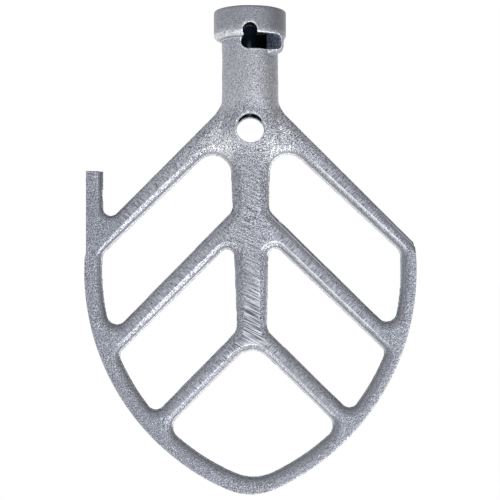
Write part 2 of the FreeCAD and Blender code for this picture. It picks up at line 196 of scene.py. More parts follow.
# What was done to the surface, and where its light and shade are painted: the marks that each vertex
# keeps for the metal to read.
MARKS = ("edge", "lip", "wall", "bore", "blind", "turned", "dull", "filed", "raw", "calm")

# Sockets of a mix node, by number because their names repeat.
FACTOR = 0
FIRST_VALUE = 2
SECOND_VALUE = 3
FIRST_COLOUR = 6
SECOND_COLOUR = 7
MIXED_VALUE = 0
MIXED_COLOUR = 2

# The camera's sensor, in millimetres, and the share of the floor's white that is its own glow.
SENSOR_WIDTH = 36.0
FLOOR_GLOW = 0.9

# Places and sizes on the stage, in metres in the part's frame.
AIM = (0.0, 0.0, -0.157)
FLOOR_SIZE = 60.0
TOP_CARD_PLACE = (0.3, 0.0, 0.75)
TOP_CARD_SIZE = 2.2
RIGHT_CARD_PLACE = (1.0, 0.0, -0.15)
LEFT_CARD_PLACE = (-1.0, 0.0, -0.15)
SIDE_CARD_SIZE = 1.4
LOW_LAMP_PLACE = (0.5, -0.35, -0.95)
LOW_LAMP_SIZE = 1.6


def linear(hex_colour):
    """An sRGB hex colour as linear red, green, blue and alpha."""
    levels = [int(hex_colour[i:i + 2], 16) / 255 for i in (1, 3, 5)]
    return [((c + 0.055) / 1.055) ** 2.4 if c > 0.04045 else c / 12.92 for c in levels] + [1.0]


def add_node(tree, kind, inputs=(), **settings):
    """Adds a node, sets its properties and fills its inputs with values or links."""
    node = tree.nodes.new(kind)
    for name, value in settings.items():
        setattr(node, name, value)
    for name, value in dict(inputs).items():
        if isinstance(value, bpy.types.NodeSocket):
            tree.links.new(value, node.inputs[name])
        else:
            node.inputs[name].default_value = value
    return node


class BeaterCasting(bpy.types.PropertyGroup):
    """Shape of the cast surface."""

    cell: FloatProperty(
        name="Cell", description="Size of the surface's cells", default=0.5 * MM, unit="LENGTH"
    )
    edge_passes: IntProperty(
        name="Edge passes", description="Smoothing passes that take the edges down", default=2
    )
    wave: FloatProperty(
        name="Wave", description="Height of the casting's unevenness", default=0.3 * MM, unit="LENGTH"
    )
    wave_length: FloatProperty(
        name="Wave length", description="Width of one uneven patch", default=12 * MM, unit="LENGTH"
    )
    sand: FloatProperty(
        name="Sand", description="Height of the sand's grain", default=0.07 * MM, unit="LENGTH"
    )
    sand_length: FloatProperty(
        name="Sand length", description="Width of a cluster of grains", default=2.4 * MM, unit="LENGTH"
    )
    burr: FloatProperty(
        name="Burr", description="Height of the burr round the slot", default=0.5 * MM, unit="LENGTH"
    )
    dent: FloatProperty(
        name="Dent", description="Depth of the finger's dent", default=1.1 * MM, unit="LENGTH"
    )
    most_triangles: IntProperty(
        name="Triangles", description="Most triangles that the surface keeps", default=190000
    )


class BeaterFinish(bpy.types.PropertyGroup):
    """Colours of the metal."""

    skin: FloatVectorProperty(
        name="Skin", description="Cast skin after tumbling", default=linear("#c3c4cc"), size=4,
        subtype="COLOR"
    )
    dull: FloatVectorProperty(
        name="Dull", description="Skin of the rim and the finger", default=linear("#979ba6"), size=4,
        subtype="COLOR"
    )
    pits: FloatVectorProperty(
        name="Pits", description="Dull grey in the grain's pits", default=linear("#60636c"), size=4,
        subtype="COLOR"
    )
    filed: FloatVectorProperty(
        name="Filed", description="Bright lines that a file left", default=linear("#cfd1d9"), size=4,
        subtype="COLOR"
    )
    # Also the colour of the painted highlights on crests, flanks and edges that face down, on the hub's
    # shoulders and on the collar's foot.
    burnished: FloatVectorProperty(
        name="Burnished", description="Edges that tumbling polished", default=linear("#eaecf0"), size=4,
        subtype="COLOR"
    )
    # Colour of the turned collar side, which also stands for painted shade, more of it to the right.
    turned: FloatVectorProperty(
        name="Turned", description="Side of the collar", default=linear("#7e8089"), size=4,
        subtype="COLOR"
    )
    # Colour of the painted shade on the walls, the collar's brim, the rim's outer edge and the leaf's
    # sole.
    wall: FloatVectorProperty(
        name="Wall", description="Unfiled walls of the openings", default=linear("#84868e"), size=4,
        subtype="COLOR"
    )
    # Colour of the painted shade inside the bore and the slot.
    bore: FloatVectorProperty(
        name="Bore", description="Stained wall of the bore and the slot", default=linear("#1b2633"),
        size=4, subtype="COLOR"
    )
    scale: FloatVectorProperty(
        name="Scale", description="Blue-grey scale at the slot's blind end", default=linear("#8799b0"),
        size=4, subtype="COLOR"
    )


class BeaterStage(bpy.types.PropertyGroup):
    """Camera, lamps, floor and background."""

    distance: FloatProperty(
        name="Distance", description="From the camera to the parting plane", default=0.759, unit="LENGTH"
    )
    sideways: FloatProperty(
        name="Sideways", description="Camera's place to the right of the axis", default=-0.0002,
        unit="LENGTH"
    )
    height: FloatProperty(
        name="Height", description="Camera's height in the part's frame", default=-0.1569, unit="LENGTH"
    )
    frame_width: FloatProperty(
        name="Frame width", description="Width seen on the parting plane", default=0.330, unit="LENGTH"
    )
    roll: FloatProperty(
        name="Roll", description="Camera's roll", default=math.radians(0.1), unit="ROTATION"
    )
    white: FloatVectorProperty(
        name="White", description="Floor and background", default=linear("#ffffff"), size=4,
        subtype="COLOR"
    )
    floor_height: FloatProperty(
        name="Floor", description="Floor's height in the part's frame", default=-1.05, unit="LENGTH"
    )
    top_card: FloatVectorProperty(
        name="Top card", description="Grey card above", default=linear("#cacace"), size=4,
        subtype="COLOR"
    )
    left_card: FloatVectorProperty(
        name="Left card", description="Pale card on the left", default=linear("#fafafc"), size=4,
        subtype="COLOR"
    )
    right_card: FloatVectorProperty(
        name="Right card", description="Grey card on the right", default=linear("#b6b2b0"), size=4,
        subtype="COLOR"
    )
    low_power: FloatProperty(
        name="Low lamp", description="Power of the low lamp", default=23.0, min=0, unit="POWER"
    )


def sand_grain(tree, place):
    """Grain that the mould's sand left all over."""
    # Sand grains are under half a millimetre, too fine to show, so clusters of them are drawn.
    return add_node(
        tree, "ShaderNodeTexNoise",
        {"Vector": place, "Scale": 1 / GRAIN_CLUSTER, "Detail": 0.5, "Roughness": 0.6, "Distortion": 0.5},
    ).outputs["Fac"]


def arm_strokes(tree, axes, side):
    """The file's strokes across the arms, which differ on the two sides."""
    # A file's teeth are too close to show, so strokes half a millimetre wide and four long are drawn.
    right = add_node(
        tree, "ShaderNodeMath", {0: axes["X"], 1: 0.0}, operation="GREATER_THAN"
    ).outputs[0]
    folded = add_node(
        tree, "ShaderNodeCombineXYZ", {"X": side, "Y": axes["Y"], "Z": axes["Z"]}
    ).outputs[0]
    across = add_node(
        tree, "ShaderNodeMapping", {"Vector": folded, "Rotation": (0, math.radians(-ARM_ANGLE), 0)}
    ).outputs[0]
    across = add_node(
        tree, "ShaderNodeVectorMath", {0: across, 1: [1 / size for size in ARM_STROKE]},
        operation="MULTIPLY",
    ).outputs[0]
    return add_node(
        tree, "ShaderNodeTexNoise", {"Vector": across, "W": right, "Scale": 1.0, "Detail": 1.5},
        noise_dimensions="4D",
    ).outputs["Fac"]


def spine_strokes(tree, place):
    """The file's longer strokes on the spine, which slant down to the right."""
    # They are drawn three quarters of a millimetre wide and 14 long, also coarser than real ones.
    slant = add_node(
        tree, "ShaderNodeMapping",
        {"Vector": place, "Rotation": (0, math.radians(-SPINE_STROKE_SLANT), 0)},
    ).outputs[0]
    slant = add_node(
        tree, "ShaderNodeVectorMath", {0: slant, 1: [1 / size for size in SPINE_STROKE]},
        operation="MULTIPLY",
    ).outputs[0]
    return add_node(
        tree, "ShaderNodeTexNoise", {"Vector": slant, "Scale": 1.0, "Detail": 0.0}
    ).outputs["Fac"]


def on_spine(tree, axes, side):
    """1 on the spine below the hub and 0 on the arms."""
    start, end = SPINE_STROKE_SIDES
    near = add_node(
        tree, "ShaderNodeMapRange",
        {"Value": side, "From Min": start, "From Max": end, "To Min": 1.0, "To Max": 0.0},
    ).outputs[0]
    low = add_node(
        tree, "ShaderNodeMapRange",
        {
            "Value": axes["Z"],
            "From Min": -SPINE_TOP_DEPTH,
            "From Max": -SPINE_TOP_DEPTH - SPINE_STROKE_FADE,
        },
    ).outputs[0]
    return add_node(tree, "ShaderNodeMath", {0: near, 1: low}, operation="MULTIPLY").outputs[0]


def surface_relief(tree, place, grain, marks):
    """Height of the surface: sand, the file's strokes where it was filed, and calm where it is worn."""
    axes = add_node(tree, "ShaderNodeSeparateXYZ", {0: place}).outputs
    side = add_node(tree, "ShaderNodeMath", {0: axes["X"]}, operation="ABSOLUTE").outputs[0]
    strokes = add_node(
        tree, "ShaderNodeMix",
        {
            FACTOR: on_spine(tree, axes, side),
            FIRST_VALUE: arm_strokes(tree, axes, side),
            SECOND_VALUE: spine_strokes(tree, place),
        },
        data_type="FLOAT",
    ).outputs[MIXED_VALUE]
    strokes = add_node(
        tree, "ShaderNodeMapRange", {"Value": strokes, "From Min": 0.2, "From Max": 0.8}
    ).outputs[0]
    relief = grain
    for share, height in ((marks["filed"], strokes), (marks["calm"], 0.5)):
        relief = add_node(
            tree, "ShaderNodeMix", {FACTOR: share, FIRST_VALUE: relief, SECOND_VALUE: height},
            data_type="FLOAT",
        ).outputs[MIXED_VALUE]
    return relief


def bore_shade(tree, finish, grain, marks):
    """Painted shade inside the bore and the slot, with specks of scale at the slot's blind end."""
    specks = add_node(
        tree, "ShaderNodeMapRange", {"Value": grain, "From Min": 0.4, "From Max": 0.62}
    ).outputs[0]
    specks = add_node(
        tree, "ShaderNodeMath", {0: marks["blind"], 1: specks}, operation="MULTIPLY"
    ).outputs[0]
    return add_node(
        tree, "ShaderNodeMix",
        {FACTOR: specks, FIRST_COLOUR: tuple(finish.bore), SECOND_COLOUR: tuple(finish.scale)},
        data_type="RGBA",
    ).outputs[MIXED_COLOUR]


def polished_share(tree, grain, marks):
    """Where tumbling polished the metal, and where highlights are painted: the lips all along, the other
    edges in beads.
    """
    beads = add_node(
        tree, "ShaderNodeMapRange",
        {"Value": grain, "From Min": 0.38, "From Max": 0.52, "To Min": 0.15, "To Max": 1.0},
    ).outputs[0]
    beads = add_node(
        tree, "ShaderNodeMath", {0: marks["edge"], 1: beads}, operation="MULTIPLY"
    ).outputs[0]
    return add_node(
        tree, "ShaderNodeMath", {0: beads, 1: marks["lip"]}, operation="MAXIMUM"
    ).outputs[0]


def metal_colour(tree, finish, relief, tone, polish, shade, marks):
    """The skin over its pits, then the filed lines, the turned side with its painted shade, the painted
    shade of the walls and the bore, and the burnished edges with their painted highlights, laid over it
    in turn.
    """
    skin = add_node(
        tree, "ShaderNodeMix",
        {FACTOR: marks["dull"], FIRST_COLOUR: tuple(finish.skin), SECOND_COLOUR: tuple(finish.dull)},
        data_type="RGBA",
    ).outputs[MIXED_COLOUR]
    colour = add_node(
        tree, "ShaderNodeMix",
        {FACTOR: tone, FIRST_COLOUR: tuple(finish.pits), SECOND_COLOUR: skin},
        data_type="RGBA",
    ).outputs[MIXED_COLOUR]
    bright = add_node(
        tree, "ShaderNodeMapRange",
        {"Value": relief, "From Min": 0.55, "From Max": 0.66, "To Min": 0.0, "To Max": 0.9},
    ).outputs[0]
    turned, painted_shade_share = (
        add_node(tree, "ShaderNodeMath", {0: mark, 1: DARKENING}, operation="MULTIPLY").outputs[0]
        for mark in (marks["turned"], marks["wall"])
    )
    finishes = (
        (bright, tuple(finish.filed)),
        (turned, tuple(finish.turned)),
        (painted_shade_share, tuple(finish.wall)),
        (marks["bore"], shade),
        (polish, tuple(finish.burnished)),
    )
    for share, over in finishes:
        colour = add_node(
            tree, "ShaderNodeMix", {FACTOR: share, FIRST_COLOUR: colour, SECOND_COLOUR: over},
            data_type="RGBA",
        ).outputs[MIXED_COLOUR]
    return colour


def casting_metal(finish):
    """Sand-cast aluminium, filed across its bars and tumbled.

    The sand leaves a satin grey skin with dull pits, the file leaves fine bright lines, and tumbling
    polishes the edges. Painted shade darkens the walls, the rim's outer edge, the leaf's sole, the
    collar's right side and the bore, and painted highlights brighten the crests, flanks and edges that
    face down.
    """
    material = bpy.data.materials.new("sand_cast_tumbled_aluminium")
    material.use_nodes = True
    tree = material.node_tree
    tree.nodes.clear()
    place = add_node(tree, "ShaderNodeTexCoord").outputs["Object"]
    place = add_node(
        tree, "ShaderNodeVectorMath", {0: place, "Scale": 1 / MM}, operation="SCALE"
    ).outputs["Vector"]
    marks = {
        name: add_node(tree, "ShaderNodeAttribute", attribute_name=name).outputs["Fac"]
        for name in MARKS
    }
    grain = sand_grain(tree, place)
    relief = surface_relief(tree, place, grain, marks)
    tone = add_node(
        tree, "ShaderNodeMapRange", {"Value": relief, "From Min": 0.36, "From Max": 0.54}
    ).outputs[0]
    polish = polished_share(tree, grain, marks)
    shade = bore_shade(tree, finish, grain, marks)
    # Freshly bared and bruised metal, and the places of painted highlight and painted shade, scatter
    # light and mirror less than the tumbled skin.
    metallic = add_node(
        tree, "ShaderNodeMapRange", {"Value": marks["raw"], "To Min": 1.0, "To Max": 0.4}
    ).outputs[0]
    rough = add_node(
        tree, "ShaderNodeMapRange", {"Value": tone, "To Min": 0.55, "To Max": 0.4}
    ).outputs[0]
    rough = add_node(
        tree, "ShaderNodeMix", {FACTOR: polish, FIRST_VALUE: rough, SECOND_VALUE: 0.3},
        data_type="FLOAT",
    ).outputs[MIXED_VALUE]
    # Sand stands up in relief, and the file's bright strokes lie slightly sunk.
    sharp = add_node(
        tree, "ShaderNodeMapRange", {"Value": marks["filed"], "To Min": 1.0, "To Max": -0.2}
    ).outputs[0]
    bump = add_node(
        tree, "ShaderNodeBump", {"Height": relief, "Strength": sharp, "Distance": GRAIN_HEIGHT * MM}
    ).outputs[0]
    metal = add_node(
        tree, "ShaderNodeBsdfPrincipled",
        {
            "Base Color": metal_colour(tree, finish, relief, tone, polish, shade, marks),
            "Metallic": metallic,
            "Roughness": rough,
            "Normal": bump,
        },
    ).outputs[0]
    add_node(tree, "ShaderNodeOutputMaterial", {"Surface": metal})
    return material


def applied(piece):
    """Bakes a piece's modifiers into its mesh."""
    graph = bpy.context.evaluated_depsgraph_get()
    old = piece.data
    piece.data = bpy.data.meshes.new_from_object(piece.evaluated_get(graph))
    piece.modifiers.clear()
    bpy.data.meshes.remove(old)


def points_and_normals(mesh):
    """The mesh's vertices in millimetres and their normals, as arrays."""
    points = np.empty(len(mesh.vertices) * 3)
    mesh.vertices.foreach_get("co", points)
    normals = np.empty(len(mesh.vertices) * 3)
    mesh.vertices.foreach_get("normal", normals)
    return points.reshape(-1, 3) / MM, normals.reshape(-1, 3)


def neighbour_mean(mesh, values):
    """Each vertex's mean of its neighbours' values."""
    ends = np.empty(len(mesh.edges) * 2, dtype=np.int64)
    mesh.edges.foreach_get("vertices", ends)
    ends = ends.reshape(-1, 2)
    total = np.zeros_like(values)
    np.add.at(total, ends[:, 0], values[ends[:, 1]])
    np.add.at(total, ends[:, 1], values[ends[:, 0]])
    count = np.bincount(ends.ravel(), minlength=len(values))
    return total / count.reshape(-1, *[1] * (values.ndim - 1))


def stand_out(mesh, points, normals):
    """How far each vertex stands out from its neighbours, along its normal."""
    return np.einsum("ij,ij->i", points - neighbour_mean(mesh, points), normals)


def ramp(values, start, full):
    """Rises from 0 at start to 1 at full."""
    return np.clip((values - start) / (full - start), 0, 1)


def span(values, start, full, fading, end):
    """Rises from 0 at start to 1 at full, and falls from 1 at fading to 0 at end."""
    return ramp(values, start, full) * ramp(values, end, fading)


def strongest(*marks):
    """The strongest of several marks at each vertex."""
    return np.maximum.reduce(marks)


def noise_at(points, pitch):
    """Smooth noise between about -1 and 1, with patches of the given pitch."""
    return np.array([noise.noise(Vector(point)) for point in points / pitch])


def ear_run_out(points):
    """How far the ear's foot runs out into the neck, as a share of each point's radius."""
    depth = -points[:, 2]
    radius = np.hypot(points[:, 0], points[:, 1])
    angle = np.degrees(np.arctan2(points[:, 0], -points[:, 1]))
    top, foot = EAR_FOOT_DEPTHS
    first, last = EAR_ANGLES
    on_ear = (depth > top) * (depth < foot) * (angle > first) * (angle < last) * (radius > NECK_RADIUS)
    run_out = 1 - ramp(angle, *EAR_RUN_OUT_ANGLES)
    return on_ear * run_out * (radius - NECK_RADIUS) / np.maximum(radius, 1)


def sand_rise(points, sizes):
    """Waves and grain of the sand, full on the neck and the spine and a fifth as high farther out."""
    radius = np.hypot(points[:, 0], points[:, 1])
    share = 1 - 0.8 * ramp(radius, *SMOOTHER_RADII)
    waves = noise_at(points, sizes.wave_length / MM) * sizes.wave
    sand = noise_at(points, sizes.sand_length / MM) * sizes.sand
    return share * (waves + sand) / MM


def burr_rise(mesh, points, normals, sizes):
    """Ragged burr that stands round the slot's edges."""
    depth = -points[:, 2]
    at_slot = (depth > SLOT_TOP_DEPTH) * (depth < SLOT_FLOOR_DEPTH + BURR_MARGIN)
    in_front = points[:, 1] < -BORE_RADIUS
    edges = ramp(stand_out(mesh, points, normals), *BURR_STANDS)
    ragged = ramp(noise_at(points, BURR_TOOTH), *BURR_RAGGED)
    return at_slot * in_front * edges * ragged * sizes.burr / MM


def dent_fall(points, sizes):
    """Uneven dent that a knock left in the finger."""
    away = np.linalg.norm((points - np.array(FINGER_DENT)) / FINGER_DENT_REACH, axis=1)
    uneven = 0.6 + 0.6 * noise_at(points, DENT_BRUISE)
    return ramp(away, *DENT_FADE) * uneven * sizes.dent / MM


class CastSurface:
    """Where each vertex of the casting lies, how it faces and, from that, what was done to it and where
    light and shade are painted on it.
    """

    def __init__(self, mesh):
        points, normals = points_and_normals(mesh)
        self.mesh = mesh
        self.x, self.y, z = points.T
        self.depth = -z
        self.side = np.abs(self.x)
        self.height = np.abs(self.y)
        self.radius = np.hypot(self.x, self.y)
        self.inset = SIDE_RADIUS - np.hypot(self.side + SIDE_CENTRE_X, self.depth - SIDE_CENTRE_DEPTH)
        self.from_hole = np.hypot(self.x, self.depth - WASH_HOLE_DEPTH) - WASH_HOLE_RADIUS
        self.level = np.abs(normals[:, 1])
        self.tilt = normals[:, 2]
        self.faces_up = ramp(self.tilt, *TILTS)
        self.faces_down = ramp(-self.tilt, *TILTS)
        outside_axis = np.maximum(self.radius, 1)
        self.outward = np.einsum("ij,ij->i", points[:, :2], normals[:, :2]) / outside_axis
        self.onward = (self.x * normals[:, 1] - self.y * normals[:, 0]) / outside_axis
        self.stand = neighbour_mean(mesh, stand_out(mesh, points, normals))

    @cached_property
    def bored(self):
        """Wall of the shaft's bore."""
        return ramp(self.radius, *BORE_RADII) * (self.depth < BORE_DEPTH + 1)

    @cached_property
    def streak(self):
        """Painted highlight in a streak down the back of the bore."""
        middle = ramp(np.abs(self.x - BORE_STREAK_X), *STREAK_SIDES)
        return self.bored * (self.y > 0) * middle * ramp(self.depth, *STREAK_DEPTHS)

    @cached_property
    def slotted(self):
        """Walls of the pin's slot, without the ear's back."""
        between = (self.depth > SLOT_TOP_DEPTH) * (self.depth < SLOT_FLOOR_DEPTH)
        in_front = (self.y < 0) * (self.radius > BORE_RADIUS)
        ear_back = (self.x > EAR_X) * ramp(self.onward, *EAR_BACK_ONWARD)
        return between * in_front * ramp(self.outward, *SLOT_OUTWARD) * (1 - ear_back)

    @cached_property
    def blind(self):
        """Blind end of the slot, behind the ear."""
        return self.slotted * ramp(self.x, *BLIND_END_X)

    @cached_property
    def burr(self):
        """Bright burr on the neck and the collar, round the slot."""
        halo = self.slotted
        for _ in range(BURR_CELLS):
            halo = neighbour_mean(self.mesh, halo)
        return ramp(halo, *BURR_HALO) * ramp(self.outward, *BURR_OUTWARD)

    @cached_property
    def pin_seat(self):
        """Roof of the slot's notch, where the bore's painted shade is lifted."""
        between = (self.depth > SLOT_TOP_DEPTH) * ramp(self.depth, PIN_SEAT_DEPTH + 1, PIN_SEAT_DEPTH)
        in_front = (self.y < 0) * (self.side < PIN_SEAT_HALF_WIDTH)
        inner = ramp(self.radius, *PIN_SEAT_RADII) * (self.radius > PIN_SEAT_INNER_RADIUS)
        return inner * between * in_front

    @cached_property
    def brim(self):
        """Painted shade in a ring at the edge of the collar's top."""
        return ramp(self.depth, *BRIM_DEPTHS) * ramp(self.radius, *BRIM_RADII)

    @cached_property
    def turned(self):
        """Turned side of the collar, with painted shade that grows to the right."""
        above_foot = ramp(self.depth, COLLAR_TURNED_DEPTH, COLLAR_TURNED_DEPTH - 1)
        shade = 0.65 + 0.35 * ramp(self.x, *COLLAR_SHADE_X)
        return ramp(self.radius, *TURNED_RADII) * above_foot * ramp(self.tilt, *COLLAR_SIDE_TILTS) * shade

    @cached_property
    def foot(self):
        """Painted highlight on the collar's foot, left of the slot."""
        below_side = ramp(self.depth, COLLAR_TURNED_DEPTH - 0.5, COLLAR_TURNED_DEPTH + 0.5)
        above_neck = ramp(self.depth, COLLAR_FOOT_DEPTH + 1, COLLAR_FOOT_DEPTH)
        return ramp(self.radius, *FOOT_RADII) * below_side * above_neck * (self.x < 0)

    @cached_property
    def drilled(self):
        """Edge of the wash hole."""
        return ramp(self.from_hole, *HOLE_EDGE)

    @cached_property
    def scuff(self):
        """Smooth scuff under the wash hole, to its left."""
        return ramp(self.from_hole, *HOLE_SCUFF) * ramp(self.depth - 0.5 * self.x, *SCUFF_DEPTHS)

    @cached_property
    def speckled(self):
        """Painted highlight in speckles on the hub's shoulders, more of them on the left."""
        x, depth = HUB_SHOULDER
        away = np.hypot(self.side - x, self.depth - depth)
        return ramp(away, *SHOULDER_SPECKLES) * np.where(self.x < 0, 0.6, 0.35)

    @cached_property
    def leaf(self):
        """The leaf under the neck, without the rim's outer skin."""
        return ramp(self.depth, *LEAF_DEPTHS) * ramp(self.inset, *RIM_SKIN_INSETS)

    @cached_property
    def underside(self):
        """What faces down and, fainter, what faces straight to the side."""
        return ramp(-self.tilt, *UNDERSIDE_TILTS)

    @cached_property
    def parting_lip(self):
        """Lip of the parting line on the bars' undersides."""
        return self.leaf * ramp(self.height, *LIP_HEIGHTS) * self.underside

    @cached_property
    def bar_wall(self):
        """Painted shade on the bars' walls, fainter on the undersides, which face the low lamp, and along
        the spine.
        """
        walls = self.leaf * ramp(self.depth, *WALL_DEPTHS) * ramp(self.level, *WALL_LEVELS)
        faint = (1 - 0.7 * self.underside) * (1 - 0.5 * ramp(self.side, *SPINE_WALL_SIDES))
        return walls * (1 - self.parting_lip) * (1 - self.drilled) * faint

    @cached_property
    def flank(self):
        """Slopes between the bars' walls and faces."""
        return self.leaf * span(self.level, *FLANK_LEVELS)

    @cached_property
    def flank_wear_and_highlight(self):
        """Wear on the flanks, and painted highlight where they face down, most on the left and upper
        arms' undersides.
        """
        less = (1 - 0.5 * ramp(self.x, *RIGHT_FLANK_FADE_X)) * (1 - 0.8 * ramp(self.depth, *LOW_FLANK_FADE_DEPTHS))
        return self.flank * (0.55 * self.faces_down * less + 0.3 * self.faces_up)

    @cached_property
    def crest(self):
        """Painted highlight on the rounded edge between a bar's lower flank and its face, where it faces
        down, faint on the lowest arms.
        """
        edge = self.leaf * span(self.level, *CREST_LEVELS) * ramp(-self.tilt, *CREST_TILTS)
        return edge * ramp(self.depth, *CREST_DEPTHS) * (1 - 0.75 * ramp(self.depth, *LOW_CREST_DEPTHS))

    @cached_property
    def seam_side(self):
        """Upper side of the right middle arm, near the spine."""
        return self.faces_up * (self.x > SEAM_X) * span(self.depth, *SEAM_DEPTHS)

    @cached_property
    def seam(self):
        """Bright edge along the top of that side's wall."""
        return self.leaf * span(self.height, *SEAM_HEIGHTS) * self.seam_side

    @cached_property
    def glint(self):
        """Bright lower flank of the right lowest arm."""
        arm = ramp(self.depth - self.side, *LOW_ARM_START_DEPTHS) * ramp(self.x, *GLINT_X)
        return self.flank * self.faces_down * arm * ramp(self.inset, *GLINT_INSETS)

    @cached_property
    def rim_edge(self):
        """Painted shade along the rim's outer edge."""
        edge = ramp(self.inset, *RIM_EDGE_INSETS) * ramp(self.level, *RIM_EDGE_LEVELS)
        return edge * ramp(self.depth, *RIM_EDGE_DEPTHS)

    @cached_property
    def sole(self):
        """Painted shade on the foot of the leaf: the rim's bottom, the right lowest arm and the lowest
        flanks.
        """
        low = ramp(self.depth, *LOW_ARM_DEPTHS)
        rim = 0.6 * ramp(self.inset, *SOLE_INSETS) * ramp(self.depth, *SOLE_DEPTHS)
        arm = 0.55 * ramp(self.x, *LOW_RIGHT_X) * low * (1 - self.crest) * (1 - self.parting_lip)
        flanks = 0.7 * self.flank * self.faces_down * low
        return strongest(rim, arm, flanks) * (1 - self.glint)

    @cached_property
    def edge(self):
        """Edges that tumbling polished in beads, but none that face up, so partly painted highlight, with
        the wash hole's edge, the slot's burr and the painted highlights of the collar's foot, the hub's
        shoulders, the flanks, the crests and the glint.
        """
        edges = 0.75 * ramp(self.stand, *WORN_STANDS) * ramp(self.tilt, *EDGE_TILTS)
        edges = edges * (1 - self.brim) * (1 - 0.85 * self.rim_edge)
        hub = 0.35 * self.drilled + 0.75 * self.foot + 0.9 * self.burr + self.speckled
        bars = 0.6 * self.flank_wear_and_highlight + 0.35 * self.crest + 0.7 * self.glint
        return np.clip(edges + hub + bars, 0, 1)

    @cached_property
    def lip(self):
        """Lips that tumbling polished all along, and on the right arms the crests' painted highlight and
        the seam.
        """
        right = strongest(0.75 * self.parting_lip, 0.95 * self.crest, 0.95 * self.seam)
        return np.where(self.x > 0, right, 0.5 * self.parting_lip)

    @cached_property
    def wall(self):
        """Painted shade: on the bars' walls, the collar's brim, the flank beside the seam, the rim's
        outer edge and the leaf's sole.
        """
        # Painted shade on the flank beside the seam.
        seam_shade = self.flank * self.seam_side * (1 - self.seam)
        return strongest(self.bar_wall, self.brim, seam_shade, self.rim_edge, self.sole)

    @cached_property
    def bore(self):
        """Painted shade inside the bore and the slot, lifted on the pin's seat and along the streak's
        painted highlight.
        """
        shaded = np.maximum(self.bored, 0.85 * self.slotted) + 0.1 * self.blind
        return np.clip(shaded - 0.8 * self.pin_seat - 0.6 * self.streak, 0, 1)

    @cached_property
    def dull(self):
        """Duller skin down the leaf, towards the rim and round the wash hole."""
        leaf = 0.7 * ramp(self.depth, *DULL_DEPTHS) + 0.3 * ramp(self.inset, *DULL_INSETS)
        return np.maximum(leaf, 0.8 * ramp(self.from_hole, *HOLE_DULL))

    @cached_property
    def filed(self):
        """Faces of the bars that a file went over, less on the upper spine and not on the rim."""
        faces = ramp(self.level, *FACE_LEVELS) * ramp(self.depth, *FILED_DEPTHS)
        spine = ramp(self.side, *SPINE_SCRATCH_SIDES) * ramp(self.depth, *SPINE_SCRATCH_DEPTHS)
        return (0.75 - 0.55 * spine) * faces * ramp(self.inset, *FILED_INSETS)

    @cached_property
    def raw(self):
        """Bared, bruised or scaly metal, and places of painted highlight and of the walls' painted shade,
        which scatter light more than they mirror.
        """
        bars = strongest(self.parting_lip, self.crest) * np.where(self.x > 0, 1.0, 0.75)
        arms = strongest(0.75 * self.seam, 0.7 * self.glint, 0.5 * self.bar_wall)
        return strongest(self.foot, self.burr, self.blind, self.pin_seat, arms, bars)

    @cached_property
    def calm(self):
        """Smoother skin on the arms, the neck and the scuff."""
        arms = 0.35 * ramp(self.depth, *ARM_CALM_DEPTHS) * ramp(self.side, *ARM_CALM_SIDES)
        return strongest(arms, 0.5 * ramp(self.depth, *NECK_CALM_DEPTHS), 0.8 * self.scuff)


class BEATER_OT_casting(bpy.types.Operator):
    """Make the cast surface from the CAD solid and give it its metal"""

    bl_idname = "beater.casting"
    bl_label = "Make the casting"

    def execute(self, context):
        sizes = context.scene.beater_casting
        piece = bpy.data.objects.new("beater_casting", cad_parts[NODE].data.copy())
        context.scene.collection.objects.link(piece)
        self.cells(piece, sizes)
        self.roughen(piece.data, sizes)
        self.mark(piece.data)
        self.thin_out(piece, sizes)
        piece.data.shade_smooth()
        piece.data.materials.clear()
        piece.data.materials.append(casting_metal(context.scene.beater_finish))
        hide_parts(NODE)
        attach(piece, "root")
        return {"FINISHED"}

    def cells(self, piece, sizes):
        """Covers the solid with even cells and takes its edges down, as tumbling does."""
        cells = piece.modifiers.new("cells", "REMESH")
        cells.mode = "VOXEL"
        cells.voxel_size = sizes.cell
        cells.use_smooth_shade = True
        edges = piece.modifiers.new("edges", "SMOOTH")
        edges.factor = 0.5
        edges.iterations = sizes.edge_passes
        applied(piece)

    def roughen(self, mesh, sizes):
        """Moves the surface in and out, as the ear's foot, the sand, the burr and a knock left it."""
        points, normals = points_and_normals(mesh)
        points[:, :2] *= (1 - ear_run_out(points))[:, None]
        rise = sand_rise(points, sizes) - dent_fall(points, sizes)
        rise += burr_rise(mesh, points, normals, sizes)
        points += normals * rise[:, None]
        mesh.vertices.foreach_set("co", (points * MM).ravel())
        mesh.update()

    def mark(self, mesh):
        """Keeps on each vertex what was done to the surface there, and the light and shade painted there.
        """
        surface = CastSurface(mesh)
        for name in MARKS:
            layer = mesh.attributes.new(name, "FLOAT", "POINT")
            layer.data.foreach_set("value", getattr(surface, name).astype(np.float32))

    def thin_out(self, piece, sizes):
        """Leaves out cells where the surface is plain."""
        triangles = sum(len(face.vertices) - 2 for face in piece.data.polygons)
        fewer = piece.modifiers.new("fewer", "DECIMATE")
        fewer.ratio = min(1.0, sizes.most_triangles / triangles)
        applied(piece)


